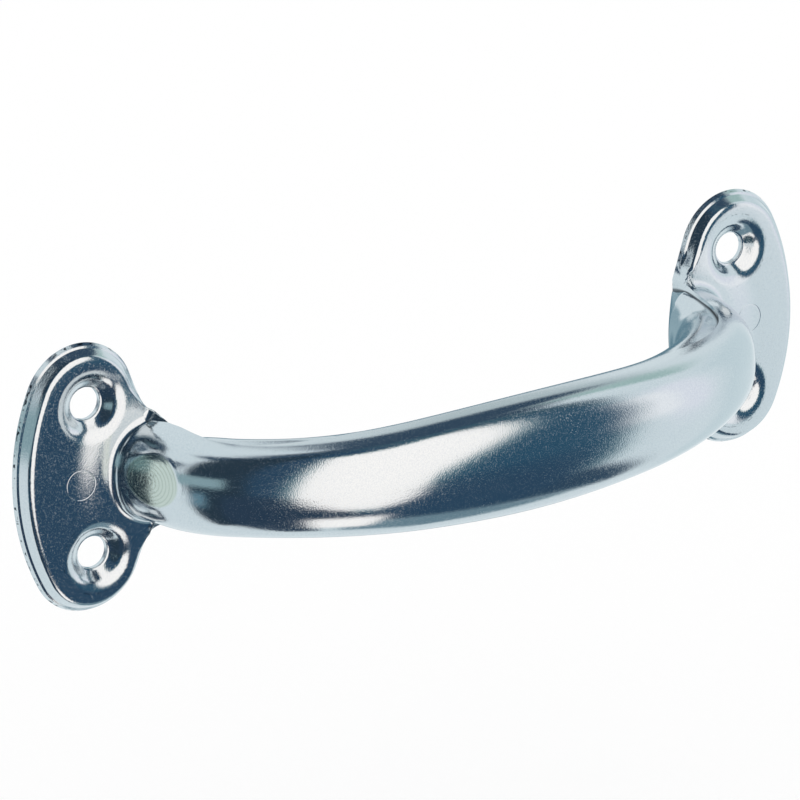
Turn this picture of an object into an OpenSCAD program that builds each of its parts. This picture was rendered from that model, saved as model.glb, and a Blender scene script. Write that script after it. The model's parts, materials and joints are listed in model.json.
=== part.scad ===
// Pressed steel bow handle for a door, gate or chest lid, in bright zinc.
// One piece of sheet: two dished D-shaped feet, a short hollow neck on each foot,
// and an arched hollow grip between the necks. Four dimpled screw holes.
// X runs along the handle, Z is up, and the handle stands out of its mounting
// plane toward -Y. The origin is the centre of the four screw holes, on that plane.

/* [Fixing] */
// Distance along the handle between the two columns of screw holes
hole_pitch = 127; // [121:0.5:133]
// Distance between the two screw holes of one foot
hole_spacing = 25.4; // [24:0.1:27]
// Diameter of a screw hole
screw_hole_d = 5.4; // [4.6:0.1:6]

/* [Sheet] */
// Thickness of the sheet
sheet = 1.0; // [0.8:0.05:1.1]
// Height of the trimmed edge of a foot
trim_h = 0.8; // [0.6:0.05:0.9]
// How far the top of the trimmed edge leans in
trim_lean = 0.35; // [0.1:0.05:0.5]

/* [Feet] */
// Height of a foot, across the handle
foot_h = 45.4; // [44:0.1:48]
// How far the round side of a foot reaches past its holes
foot_reach = 13.4; // [13:0.1:14.6]
// Radius of the two round corners of a foot
corner_r = 10; // [9.6:0.1:10.6]
// How far the corner centres lie outward of the holes
corner_shift = 0.6; // [0.2:0.1:1.2]
// Lean of the inner edge of a foot, in degrees
side_lean = 19; // [16:1:22]
// Half height at which the inner edge of a foot meets the neck
side_end = 9.1; // [8.8:0.1:9.5]
// Height of the raised field above the mounting plane
dish_h = 2.9; // [2.7:0.1:3.3]
// Width of the flat ledge round the foot of the skirt
ledge_w = 0.7; // [0.6:0.05:0.9]
// How far the sloped skirt runs inward
skirt_run = 0.75; // [0.6:0.05:1]
// Share of that run that is left along the inner edge of a foot
skirt_tight = 0.55; // [0.4:0.05:0.8]
// Radius of the edge between skirt and field
field_edge_r = 0.8; // [0.6:0.1:0.9]

/* [Dimples] */
// Diameter of a dimple where it leaves the field
dimple_d = 11; // [10.4:0.1:11.4]
// Depth of a dimple at the edge of its hole
dimple_depth = 1.85; // [1.5:0.05:1.9]

/* [Neck] */
// Distance of the neck's centre line inward of the holes
neck_inset = 9.5; // [9.2:0.1:9.8]
// Width of the neck at the foot
neck_w = 15.3; // [14.8:0.1:15.8]
// Depth of the neck outward of its centre line
neck_out = 6; // [5.8:0.1:6.4]
// Depth of the neck inward of its centre line, above its toe
neck_in = 6.2; // [5.8:0.1:6.6]
// Radius of the fillet ring between field and neck
ring_r = 1.4; // [1.1:0.1:1.6]
// Radius of the elbow's centre line
elbow_r = 25; // [23:0.5:26]
// Depth of the neck inward of its centre line, at the mounting plane
toe_in = 2.2; // [2:0.1:2.8]

/* [Grip] */
// Height of the grip's centre line over the mounting plane, in the middle
arch_h = 33.5; // [32:0.1:35]
// Width of the grip in the middle
grip_w = 18.7; // [18:0.1:20]
// Thickness of the grip in the middle
grip_t = 13.1; // [12.4:0.1:13.8]
// Width of the grip at its waist, where elbow and shoulder meet
waist_w = 15.2; // [14.6:0.1:15.6]
// Slope of the grip at its waist, in degrees
waist_slope = 50; // [44:1:60]
// Thickness of the grip at the shoulders
shoulder_t = 14.5; // [13.8:0.1:15]
// Depth of the grip inward of its centre line, at the shoulders
shoulder_in = 6.3; // [6:0.1:7]
// Slope of the grip at the shoulders, in degrees
shoulder_slope = 43; // [40:1:46]
// Slope at the ends of the flat middle arch, in degrees
middle_slope = 9; // [8:0.5:10.5]

/* [Lapped edge] */
// Step from the lapped edge down to the inner sheet
lap_step = 0.9; // [0.6:0.05:1]
// Step that is left in the middle of the grip
lap_rest = 0.15; // [0.1:0.05:0.3]
// Distance of the lapped edge inward of the centre line, at the foot
lap_foot = 2.1; // [1.7:0.1:2.5]
// How far the tip of the lapped edge lies outward of the centre line
lap_tip = 1.3; // [0.9:0.1:1.5]
// Slope of the grip at that tip, in degrees
lap_slope = 43; // [41:1:46]
// How far the sheet flares out along the lapped edge, at the foot
lap_flare = 1.4; // [1:0.1:1.6]

/* [Tool mark] */
// Width of the round mark on each elbow, across the handle
mark_w = 8.8; // [8:0.1:9.2]
// Length of that mark along the bend
mark_l = 11.4; // [10:0.2:12]
// Depth of the round mark
mark_depth = 0.2; // [0.15:0.05:0.3]
// Radius of the hollow bed that pressed the round mark
mark_bed_r = 8.4; // [8:0.1:9]
// Height of the round mark over the middle of the neck
mark_rise = 1.5; // [0:0.1:2]
// Turn of the round mark round the elbow, in degrees
mark_turn = 20; // [18:1:24]

/* [Hidden] */
steel = [0.76, 0.80, 0.84];
eps = 0.04;
hole_x = hole_pitch / 2;
neck_x = hole_x - neck_inset;
base_n = 1;

// Foot outline, with x measured outward from the holes.
corner_z = foot_h / 2 - corner_r;
out_k = foot_reach - corner_shift - corner_r;
out_d = (out_k * out_k - corner_z * corner_z) / (2 * out_k);
out_c = corner_shift + out_d;
out_r = foot_reach - out_c;
out_a = atan2(corner_z, -out_d);
side_a = 180 - side_lean;
arc_n = 6;
corner_n = 13;
side_n = 3;
plate_n = arc_n + corner_n + side_n;

// Number of steps over the lapped inner sheet, from its edge to the ridge.
toe_n = 5;
half_n = plate_n + 1 + toe_n;
ring_n = 2 * half_n;

function arc_point(i, d) =
    let(a = out_a * i / arc_n)
    [out_c + (out_r - d) * cos(a), (out_r - d) * sin(a)];
function corner_point(i, d) =
    let(a = out_a + (side_a - out_a) * i / corner_n)
    [corner_shift + (corner_r - d) * cos(a), corner_z + (corner_r - d) * sin(a)];
function side_point(i, d) =
    let(p = corner_point(corner_n, d), z = p[1] + (side_end - p[1]) * i / side_n)
    [p[0] - (p[1] - z) * tan(side_lean), z];
// Point i of the foot outline, inset by d, in handle coordinates.
function plate_point(i, d) =
    let(
        p = i <= arc_n ? arc_point(i, d)
            : i <= arc_n + corner_n ? corner_point(i - arc_n, d)
            : side_point(i - arc_n - corner_n, d)
    )
    [hole_x + p[0], p[1]];

// Centre line of the grip: a flat middle arch, two shoulder arcs, two elbows.
// The radii of arch and shoulder follow from the neck and the arch height.
s1 = shoulder_slope;
s2 = middle_slope;
run_x = neck_x - elbow_r * (1 - sin(s1));
run_n = arch_h - base_n - elbow_r * cos(s1);
det = sin(s2) * (cos(s2) - cos(s1)) - (sin(s1) - sin(s2)) * (1 - cos(s2));
arch_r = (run_x * (cos(s2) - cos(s1)) - (sin(s1) - sin(s2)) * run_n) / det;
shoulder_r = (sin(s2) * run_n - (1 - cos(s2)) * run_x) / det;
x2 = arch_r * sin(s2);
n2 = arch_h - arch_r * (1 - cos(s2));
x1 = x2 + shoulder_r * (sin(s1) - sin(s2));
n1 = n2 - shoulder_r * (cos(s2) - cos(s1));
function line_x(s) =
    s <= s2 ? arch_r * sin(s)
    : s <= s1 ? x2 + shoulder_r * (sin(s) - sin(s2))
    : x1 + elbow_r * (sin(s) - sin(s1));
function line_n(s) =
    s <= s2 ? arch_h - arch_r * (1 - cos(s))
    : s <= s1 ? n2 - shoulder_r * (cos(s2) - cos(s))
    : n1 - elbow_r * (cos(s1) - cos(s));

// Section sizes along the centre line, as functions of its slope.
function ease(u) = (1 - cos(180 * min(1, max(0, u)))) / 2;
function along(s, mid, shoulder, neck) =
    s <= s1 ? mid + (shoulder - mid) * ease(line_x(s) / x1)
    : shoulder + (neck - shoulder) * ease((s - s1) / (90 - s1));
function half_w(s) =
    s <= waist_slope ? (grip_w + (waist_w - grip_w) * ease(line_x(s) / line_x(waist_slope))) / 2
    : (waist_w + (neck_w - waist_w) * ease((s - waist_slope) / (90 - waist_slope))) / 2;
function out_t(s) = along(s, grip_t / 2, shoulder_t / 2, neck_out);
function in_t(s) = along(s, grip_t / 2, shoulder_in, neck_in);
function square(s) = along(s, 2.6, 2.6, 2.15);
// The lapped edge: how far inward of the centre line it runs, and its step.
function lap_in(s) = lap_foot - (lap_foot + lap_tip)
    * ease(s > lap_slope ? (84 - s) / (84 - lap_slope) : (s - 12) / (lap_slope - 12));
function lap_drop(s) = lap_rest + (lap_step - lap_rest) * ease((s - 20) / 20);
function lobe_drop(s) = lap_rest + (lap_step - lap_rest) * ease((s - 52) / 24);
function flare(s) = lap_flare * (1 - ease((85 - s) / 50));

// Point of a rounded oval at angle a: u is its first half size, v its second.
function oval(u, v, a, q) = [
    u * sign(cos(a)) * pow(abs(cos(a)), 2 / q),
    v * pow(abs(sin(a)), 2 / q)
];
// Angle at which such an oval has gone c past its widest place.
function oval_angle(c, t, q) = c >= 0
    ? 90 + asin(pow(c / t, q / 2))
    : 90 - asin(pow(-c / t, q / 2));

// Outer sheet at slope s: point i of plate_n, as [outward, up].
function hull_point(i, s, g) =
    let(
        c = lap_in(s),
        to = out_t(s) + g,
        ti = in_t(s),
        q = square(s),
        a = oval_angle(c, c >= 0 ? ti : to, q) * i / plate_n,
        p = oval(a <= 90 ? to : ti, half_w(s) + g, a, q)
    )
    [p[0], p[1] + flare(s) * pow(i / plate_n, 5)];
// Inner sheet near the foot: point j of toe_n, from the lap to the ridge.
function toe_point(j, z, c, ti) =
    let(a = 90 * j / toe_n)
    [-c - (ti - c) * pow(sin(a), 2 / 2.1), z * pow(cos(a), 2 / 2.1)];

// Upper half of a section of neck or grip. Its slope is so at the outer side
// and sl at the lapped edge and over the inner sheet.
function lift(s, p) = [line_x(s) + p[0] * sin(s), -line_n(s) - p[0] * cos(s), p[1]];
function section_half(so, sl) =
    let(
        z = hull_point(plate_n, sl, 0)[1] - lap_drop(sl),
        c = lap_in(sl),
        ti = in_t(sl),
        a = oval_angle(c, c >= 0 ? ti : out_t(sl), square(sl)),
        w = ease((86 - sl) / 26)
    )
    concat(
        [for (i = [0:plate_n])
            let(s = so + (sl - so) * pow(i / plate_n, 2))
            lift(s, hull_point(i, s, 0))],
        [for (j = [0:toe_n])
            let(
                near = toe_point(j, z, c, ti),
                b = a + (180 - a) * pow(j / toe_n, 1.2),
                far = oval(b <= 90 ? out_t(sl) : ti, half_w(sl) - lobe_drop(sl), b, square(sl))
            )
            lift(sl, j == 0 ? near : near + (far - near) * w)]
    );

// Inner sheet near the mounting plane, at height n.
ridge_n = 4.3;
function toe_half(n) =
    let(
        u = n / ridge_n,
        t = toe_in + (in_t(90) - 0.5 - toe_in) * pow(u, 0.8),
        z = neck_w / 2 + lap_flare - lap_step - 1.2 * (1 - u)
    )
    [for (j = [0:toe_n])
        let(p = toe_point(j, z, lap_foot - 0.4 * (1 - u), t))
        [neck_x + p[0], -n, p[1]]];

// Near the lapped edge the skirt of a foot turns over into the side of the neck.
// Point i at level k of 9 is drawn toward the line from first to last level.
function turn(i) = pow(max(0, (i - plate_n + 4) / 4), 2.2);
function tight(i) = 1 - (1 - skirt_tight) * ease((i - arc_n - 4) / (corner_n - 6));
function level(k, i) =
    let(
        g = k <= 5 ? 0 : ring_r * (1 - sin(ring_turn[k - 6])),
        h = k <= 5 ? foot_h_at[k] : dish_h + ring_r * (1 - cos(ring_turn[k - 6])),
        p = k <= 5 ? plate_point(i, foot_d_at[k] * tight(i)) : [neck_x, 0] + hull_point(i, 90, g)
    )
    [p[0], -h - (k == 9 ? 2.7 * turn(i) : 0), p[1]];
function column(k, i) =
    let(
        a = level(0, i),
        b = level(9, i),
        u = k / 9,
        line = a + (b - a) * u + [0, 0, 0.5 * sin(180 * u)],
        w = turn(i)
    )
    level(k, i) * (1 - w) + line * w;
function foot_ring(k) = concat([for (i = [0:plate_n]) column(k, i)], toe_half(toe_at[k]));

// The rings of one end, from the cut edge of the foot to the middle of the grip.
edge_in = ledge_w + skirt_run;
foot_d_at = [
    0, trim_lean, ledge_w, edge_in, edge_in + 0.3 * field_edge_r, edge_in + field_edge_r
];
foot_h_at = [
    0, trim_h, sheet, dish_h - field_edge_r, dish_h - 0.3 * field_edge_r, dish_h
];
ring_turn = [0, 35, 65, 90];
toe_at = [0, 0.6, 1.0, 1.5, 1.9, 2.3, 2.7, 3.2, 3.7, ridge_n];
grip_slopes = concat(
    [[80, 73], [73, 66.5], [66, 60.5], [59.5, 55.5], [53.5, 50.5], [48, 46.5]],
    [for (k = [0:6]) let(s = s1 - 0.6 - (s1 - 0.6 - s2) * k / 6) [s, s]],
    [for (k = [1:4]) let(s = s2 - s2 * k / 4) [s, s]]
);
half_rings = concat(
    [for (k = [0:9]) foot_ring(k)],
    [for (s = grip_slopes) section_half(s[0], s[1])]
);

// A full ring from its upper half, and the same ring at the other end.
function full(h, last) = concat(h, [for (i = [last - 1:-1:1]) [h[i][0], h[i][1], -h[i][2]]]);
function other(r) = [for (p = r) [-p[0], p[1], p[2]]];
function both(h, last) =
    let(n = len(h))
    concat(
        [for (r = h) full(r, last)],
        [for (k = [n - 2:-1:0]) other(full(h[k], last))]
    );
outer_rings = both(half_rings, half_n);

// The inside of the sheet, with every second point of the outside.
in_plate = plate_n / 2;
in_half = half_n / 2;
in_n = 2 * in_half;
function in_toe(n) =
    let(
        u = n / ridge_n,
        z = neck_w / 2 + lap_flare - lap_step - sheet - 1.2 * (1 - u),
        t = toe_in + (in_t(90) - 0.5 - toe_in) * pow(u, 0.8) - sheet
    )
    [for (j = [0:in_half - in_plate])
        let(a = 90 * j / (in_half - in_plate))
        [neck_x + 0.6 - (t + 0.6) * pow(sin(a), 0.95), -n, z * pow(cos(a), 0.95)]];
function in_foot(d, n, m) = concat(
    [for (i = [0:in_plate - 1]) let(p = plate_point(2 * i, d)) [p[0], -n, p[1]]],
    in_toe(m)
);
function in_fillet(g, n, m) = concat(
    [for (i = [0:in_plate - 1])
        let(p = oval(neck_out + g, neck_w / 2 + g, 80 * i / (in_plate - 1), square(90)))
        [neck_x + p[0], -n, p[1]]],
    in_toe(m)
);
function in_section(s) =
    let(
        w = half_w(s) - sheet,
        z = w - lap_drop(s) + flare(s) * 0.8,
        x = lap_tip + 1.2,
        t = in_t(s) - sheet
    )
    concat(
        [for (i = [0:in_plate - 1])
            lift(s, oval(out_t(s) - sheet, w, 72 * i / (in_plate - 1), square(s)))],
        [for (j = [0:in_half - in_plate])
            let(a = 90 * j / (in_half - in_plate))
            lift(s, [x - (t + x) * pow(sin(a), 0.95), z * pow(cos(a), 0.95)])]
    );
inner_r = ring_r + sheet;
in_rings = concat(
    [
        in_foot(edge_in + 0.15, 0, 0),
        in_foot(edge_in + sheet - 0.1, dish_h - sheet - 0.4, 0.8),
        in_foot(edge_in + sheet + 0.5, dish_h - sheet, 1.4),
        in_fillet(ring_r, dish_h - sheet, 2.2),
        in_fillet(ring_r - inner_r * sin(50), dish_h - sheet + inner_r * (1 - cos(50)), 3),
        in_fillet(-sheet, dish_h + ring_r, ridge_n)
    ],
    [for (s = [74, 65, 54.5, s1, 34.5, 26.5, 18.5, s2, s2 / 2, 0]) in_section(s)]
);
inner_rings = both(in_rings, in_half);

// Faces between the rings, and the cut edge that joins outside and inside.
function wrap(i, n) = (i + n) % n;
function skin(rings, n, at, turn) = [
    for (k = [0:rings - 2], i = [0:n - 1])
        let(
            a = at + k * n + i,
            b = at + k * n + wrap(i + 1, n),
            c = a + n,
            d = b + n
        )
        each (turn ? [[a, b, d], [a, d, c]] : [[a, d, b], [a, c, d]])
];
function edge_faces(o, i, flip) = [
    for (k = [0:in_n - 1])
        let(
            a = o + 2 * k,
            b = o + 2 * k + 1,
            c = o + wrap(2 * k + 2, ring_n),
            d = i + k,
            e = i + wrap(k + 1, in_n),
            f = [[a, b, d], [b, e, d], [b, c, e]]
        )
        each (flip ? [for (t = f) [t[0], t[2], t[1]]] : f)
];
in_at = len(outer_rings) * ring_n;
out_last = (len(outer_rings) - 1) * ring_n;
in_last = in_at + (len(inner_rings) - 1) * in_n;

module shell() {
    polyhedron(
        points = [for (r = concat(outer_rings, inner_rings)) each r],
        faces = concat(
            skin(len(outer_rings), ring_n, 0, false),
            skin(len(inner_rings), in_n, in_at, true),
            edge_faces(0, in_at, false),
            edge_faces(out_last, in_last, true)
        )
    );
}

// Dimple: a pressed cup in the field with the screw hole in its floor.
dimple_r = dimple_d / 2;
hole_r = screw_hole_d / 2;
floor_n = dish_h - dimple_depth;
dimple_lip = 0.45;
module dimple() {
    rotate([90, 0, 0])
        rotate_extrude($fn = 48)
            polygon([
                [hole_r, floor_n - sheet + eps],
                [hole_r, floor_n],
                [hole_r + 0.5, floor_n + 0.18],
                [dimple_r - 0.6, dish_h - 0.55],
                [dimple_r + 0.05, dish_h - 0.12],
                [dimple_r + dimple_lip, dish_h - eps],
                [dimple_r + dimple_lip, dish_h - sheet + eps],
                [dimple_r - 0.1, dish_h - sheet - 0.35],
                [hole_r + 0.75, floor_n - sheet + 0.12]
            ]);
}
// What the dimple takes out of the flat field: a cone under its rim.
module dimple_opening() {
    deep = dish_h + 0.5;
    rim = dimple_r + dimple_lip - eps;
    rotate([90, 0, 0])
        translate([0, 0, -0.5])
            cylinder(h = deep + 0.8, r1 = rim - 0.7 * deep, r2 = rim + 0.56, $fn = 48);
}
module at_holes() {
    for (x = [-hole_x, hole_x], z = [-hole_spacing / 2, hole_spacing / 2])
        translate([x, 0, z])
            children();
}

// Round mark on the outer side of an elbow, left by the bending tool.
mark_s = 90 - mark_turn;
mark_t = out_t(mark_s);
mark_lean = atan((out_t(mark_s + 8) - out_t(mark_s - 8)) / (elbow_r * 16 * PI / 180));
mark_bend_r = elbow_r + mark_t;
module elbow_mark() {
    for (m = [0, 1])
        mirror([m, 0, 0])
            translate(lift(mark_s, [mark_t - mark_depth, 0]))
                rotate([0, 0, mark_s - 90 - mark_lean])
                    difference() {
                        translate([-4, 0, mark_rise])
                            rotate([0, 90, 0])
                                linear_extrude(6)
                                    scale([mark_w, mark_l])
                                        circle(d = 1, $fn = 40);
                        translate([-mark_bend_r, 0, 0])
                            rotate_extrude($fn = 96)
                                translate([mark_bend_r - mark_bed_r, 0])
                                    circle(r = mark_bed_r, $fn = 48);
                    }
}

module handle() {
    color(steel)
        union() {
            difference() {
                shell();
                at_holes()
                    dimple_opening();
                elbow_mark();
            }
            at_holes()
                dimple();
        }
}

handle();
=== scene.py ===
# %% [markdown]
# A pressed steel bow handle in bright zinc, as screwed on doors, gates and
# chest lids. It is one piece of sheet: two dished feet, and a hollow grip
# between them. This lesson first loads the fixed model, sets the camera, and
# then dresses the model with one finely made sheet-metal skin.

# %% Load the fixed model
import bpy
import bmesh
import json
import math
from mathutils import Matrix, Vector

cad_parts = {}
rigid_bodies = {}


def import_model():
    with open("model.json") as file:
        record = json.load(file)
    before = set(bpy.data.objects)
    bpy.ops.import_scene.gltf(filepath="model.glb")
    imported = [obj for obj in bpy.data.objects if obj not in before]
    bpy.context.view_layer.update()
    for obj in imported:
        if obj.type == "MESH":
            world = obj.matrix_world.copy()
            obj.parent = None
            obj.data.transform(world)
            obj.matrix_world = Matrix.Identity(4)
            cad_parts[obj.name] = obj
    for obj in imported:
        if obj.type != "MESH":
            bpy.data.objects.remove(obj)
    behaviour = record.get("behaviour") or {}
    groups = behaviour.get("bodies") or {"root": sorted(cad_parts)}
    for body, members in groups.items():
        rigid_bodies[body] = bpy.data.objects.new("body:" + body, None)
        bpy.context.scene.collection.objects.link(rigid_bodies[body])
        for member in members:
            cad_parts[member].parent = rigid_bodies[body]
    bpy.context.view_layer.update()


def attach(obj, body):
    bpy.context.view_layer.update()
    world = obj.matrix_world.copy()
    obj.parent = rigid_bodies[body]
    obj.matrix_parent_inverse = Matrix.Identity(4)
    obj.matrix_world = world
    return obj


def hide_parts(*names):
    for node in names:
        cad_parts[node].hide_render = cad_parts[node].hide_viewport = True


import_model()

MM = 0.001

# %% [markdown]
# The camera comes before the shapes, so that every look is from the right
# place. A long lens from the left and a little above shows the handle as a
# catalogue does. The angles are how far the camera is turned, raised and
# tilted; the distance and the lens go together.

# %% Camera
CAMERA_TURN = math.radians(-32.669)
CAMERA_RAISE = math.radians(19.892)
CAMERA_TILT = math.radians(-1.72)
CAMERA_AIM = Vector((-3.351, 0.0, -0.327)) * MM
CAMERA_FAR = 927.525 * MM
SENSOR_W, PICTURE_W_PX, FOCAL_LENGTH_PX = 36, 800, 5609.27

back = Vector((
    math.sin(CAMERA_TURN) * math.cos(CAMERA_RAISE),
    -math.cos(CAMERA_TURN) * math.cos(CAMERA_RAISE),
    math.sin(CAMERA_RAISE),
))
level = (-back).cross(Vector((0, 0, 1))).normalized()
up = level.cross(-back)
side = math.cos(CAMERA_TILT) * level + math.sin(CAMERA_TILT) * up
rise = -math.sin(CAMERA_TILT) * level + math.cos(CAMERA_TILT) * up

camera_data = bpy.data.cameras.new("camera")
camera_data.sensor_width = SENSOR_W
camera_data.lens = SENSOR_W * FOCAL_LENGTH_PX / PICTURE_W_PX
camera_data.clip_start = 0.05
camera_data.clip_end = 20
camera = bpy.data.objects.new("camera", camera_data)
camera.matrix_world = Matrix((side, rise, back)).transposed().to_4x4()
camera.location = CAMERA_AIM + back * CAMERA_FAR
bpy.context.scene.collection.objects.link(camera)
bpy.context.scene.camera = camera
print("camera at", [round(v, 3) for v in camera.location], "lens", round(camera_data.lens, 1))

# %% [markdown]
# The sizes are the part's own, in millimetres and degrees. The real maker draws
# them once for the press tools, and everything below follows from them.

# %% Sizes
HOLE_X, HOLE_Z, HOLE_R = 63.5, 12.7, 2.7
SHEET, TRIM_H, TRIM_LEAN = 1.0, 0.8, 0.35
FOOT_H, FOOT_REACH, CORNER_R, CORNER_SHIFT = 45.4, 13.4, 10.0, 0.6
SIDE_LEAN, SIDE_END = 19.0, 9.1
DISH_H, LEDGE_W, SKIRT_RUN, SKIRT_TIGHT = 2.9, 0.7, 0.75, 1.05
NECK_X, NECK_W, NECK_OUT, NECK_IN, RING_R = 54.0, 15.3, 6.0, 6.2, 1.4
ELBOW_R, TOE_IN, ARCH_H, BASE_N = 25.0, 2.2, 33.5, 1.0
GRIP_W, GRIP_T, WAIST_W, SHOULDER_T, SHOULDER_IN = 18.7, 13.1, 15.2, 14.5, 6.3
S1, S2, WAIST_SLOPE, NECK_SLOPE = math.radians(43.0), math.radians(9.0), math.radians(50.0), 84.0
LAP_STEP, LAP_REST, LAP_FOOT, LAP_TIP, LAP_SLOPE, LAP_FLARE = 0.9, 0.15, 2.1, 1.3, 43.0, 1.4
MARK_W, MARK_L, MARK_RISE, MARK_TURN = 8.8, 11.4, 1.5, 20.0
RIGHT_ANGLE = math.pi / 2
print("handle is", 2 * (HOLE_X + FOOT_REACH), "mm long and", FOOT_H, "mm high over its feet")


def mix(a, b, u):
    return a + (b - a) * u


def ease(u):
    """0 to 1 with a soft start and a soft end."""
    return (1 - math.cos(math.pi * min(1.0, max(0.0, u)))) / 2


# %% [markdown]
# The outline of a foot is a flat arc, two round corners and two short sides
# that run in to the neck. One number walks along its upper half: 0 at the
# outermost point, PLATE_N at the neck. A second number insets the outline,
# as the skirt of the dish does.

# %% Outline of a foot
ARC_N, CORNER_N, SIDE_N, TOE_N = 6, 13, 3, 5
PLATE_N = ARC_N + CORNER_N + SIDE_N
corner_z = FOOT_H / 2 - CORNER_R
out_k = FOOT_REACH - CORNER_SHIFT - CORNER_R
out_d = (out_k * out_k - corner_z * corner_z) / (2 * out_k)
out_c = CORNER_SHIFT + out_d
out_r = FOOT_REACH - out_c
out_a = math.atan2(corner_z, -out_d)
side_a = math.pi - math.radians(SIDE_LEAN)


def plate_point(i, d):
    """The foot's outline at step i, moved in by d."""
    if i <= ARC_N:
        a = out_a * i / ARC_N
        return HOLE_X + out_c + (out_r - d) * math.cos(a), (out_r - d) * math.sin(a)
    u = min(1.0, (i - ARC_N) / CORNER_N)
    a = out_a + (side_a - out_a) * u
    x = CORNER_SHIFT + (CORNER_R - d) * math.cos(a)
    z = corner_z + (CORNER_R - d) * math.sin(a)
    if i > ARC_N + CORNER_N:
        z2 = z + (SIDE_END - z) * (i - ARC_N - CORNER_N) / SIDE_N
        x, z = x - (z - z2) * math.tan(math.radians(SIDE_LEAN)), z2
    return HOLE_X + x, z


print("foot is", round(2 * plate_point(ARC_N + CORNER_N * 0.35, 0)[1], 1), "mm high near its corners")

# %% [markdown]
# The grip bends along three arcs that meet smoothly: a flat middle arch, a
# shoulder and an elbow. Its slope, from 0 in the middle to a right angle at
# the foot, says where on the bend a section sits. A curve drawn by hand could
# stand in for the arcs, but a bending tool has a round former, so arcs give
# the light the same even run.

# %% Bend of the grip
run_x = NECK_X - ELBOW_R * (1 - math.sin(S1))
run_n = ARCH_H - BASE_N - ELBOW_R * math.cos(S1)
det = math.sin(S2) * (math.cos(S2) - math.cos(S1)) - (math.sin(S1) - math.sin(S2)) * (1 - math.cos(S2))
arch_r = (run_x * (math.cos(S2) - math.cos(S1)) - (math.sin(S1) - math.sin(S2)) * run_n) / det
shoulder_r = (math.sin(S2) * run_n - (1 - math.cos(S2)) * run_x) / det
x2 = arch_r * math.sin(S2)
n2 = ARCH_H - arch_r * (1 - math.cos(S2))
x1 = x2 + shoulder_r * (math.sin(S1) - math.sin(S2))
n1 = n2 - shoulder_r * (math.cos(S2) - math.cos(S1))


def line(s):
    """The bend line at slope s: how far from the middle, and how far out from the wall."""
    if s <= S2:
        return arch_r * math.sin(s), ARCH_H - arch_r * (1 - math.cos(s))
    if s <= S1:
        return x2 + shoulder_r * (math.sin(s) - math.sin(S2)), n2 - shoulder_r * (math.cos(S2) - math.cos(s))
    return x1 + ELBOW_R * (math.sin(s) - math.sin(S1)), n1 - ELBOW_R * (math.cos(S1) - math.cos(s))


def lift(s, p, z):
    """The point p mm outward of the bend line at slope s, and z mm up."""
    x, n = line(s)
    return Vector((x + p * math.sin(s), -(n + p * math.cos(s)), z))


print("middle arch radius", round(arch_r, 1), "shoulder radius", round(shoulder_r, 1), "mm")

# %% [markdown]
# The section is a rounded oval, squarer in the grip than in the neck, whose
# width and depth change along the bend. It is given by its half width, and by
# how far it reaches outward and inward from the bend line.

# %% Section of the grip
GRIP_SQUARE, NECK_SQUARE = 2.6, 2.15


def along(s, mid, shoulder, neck):
    """A size that eases from the middle of the grip to its shoulder and on to the neck."""
    if s <= S1:
        return mid + (shoulder - mid) * ease(line(s)[0] / x1)
    return shoulder + (neck - shoulder) * ease((s - S1) / (RIGHT_ANGLE - S1))


def half_w(s):
    if s <= WAIST_SLOPE:
        return mix(GRIP_W, WAIST_W, ease(line(s)[0] / line(WAIST_SLOPE)[0])) / 2
    return mix(WAIST_W, NECK_W, ease((s - WAIST_SLOPE) / (RIGHT_ANGLE - WAIST_SLOPE))) / 2


def out_t(s):
    return along(s, GRIP_T / 2, SHOULDER_T / 2, NECK_OUT)


def in_t(s):
    return along(s, GRIP_T / 2, SHOULDER_IN, NECK_IN)


def square(s):
    return along(s, GRIP_SQUARE, GRIP_SQUARE, NECK_SQUARE)


def oval(u, v, a, q):
    """The point at angle a of an oval with half axes u and v, squarer as q grows."""
    c = math.cos(a)
    return math.copysign(u * abs(c) ** (2 / q), c), v * abs(math.sin(a)) ** (2 / q)


print("grip is", round(2 * half_w(0), 1), "by", round(out_t(0) + in_t(0), 1), "mm in the middle")

# %% [markdown]
# The outer side of the sheet laps over the inner side along the top and the
# bottom of the grip. Its edge starts behind the middle of the neck, swings
# outward along the elbow and falls back along the grip. Beside the neck it
# flares out, and the inner side lies a step below it, which fades to a thin
# line along the grip. The real sheet slides over itself like this when the
# blank is rolled shut, so both sides are worked out here from one section.

# %% Lapped edge
LAP_TOP_SLOPE, LAP_FADE, LOBE_FADE, FLARE_FADE, LOBE_FREE = 12, (20, 40), (52, 76), (85, 35), (86, 60)
FLARE_POWER, LOBE_POWER, LOBE_CREEP = 5, 2 / 2.1, 1.2


def fade(s, start, end):
    """0 at the slope start and 1 at the slope end, both in degrees."""
    return ease((math.degrees(s) - start) / (end - start))


def lap_in(s):
    """How far the lapped edge lies from the bend line toward the wall."""
    start = NECK_SLOPE if math.degrees(s) > LAP_SLOPE else LAP_TOP_SLOPE
    return LAP_FOOT - (LAP_FOOT + LAP_TIP) * fade(s, start, LAP_SLOPE)


def lap_drop(s):
    return mix(LAP_REST, LAP_STEP, fade(s, *LAP_FADE))


def lobe_drop(s):
    return mix(LAP_REST, LAP_STEP, fade(s, *LOBE_FADE))


def flare(s):
    return LAP_FLARE * (1 - fade(s, *FLARE_FADE))


def lap_angle(s, g):
    """The angle round the oval at which the lapped edge lies."""
    c = lap_in(s)
    t = in_t(s) if c >= 0 else out_t(s) + g
    return RIGHT_ANGLE + math.copysign(math.asin((abs(c) / t) ** (square(s) / 2)), c)


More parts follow.
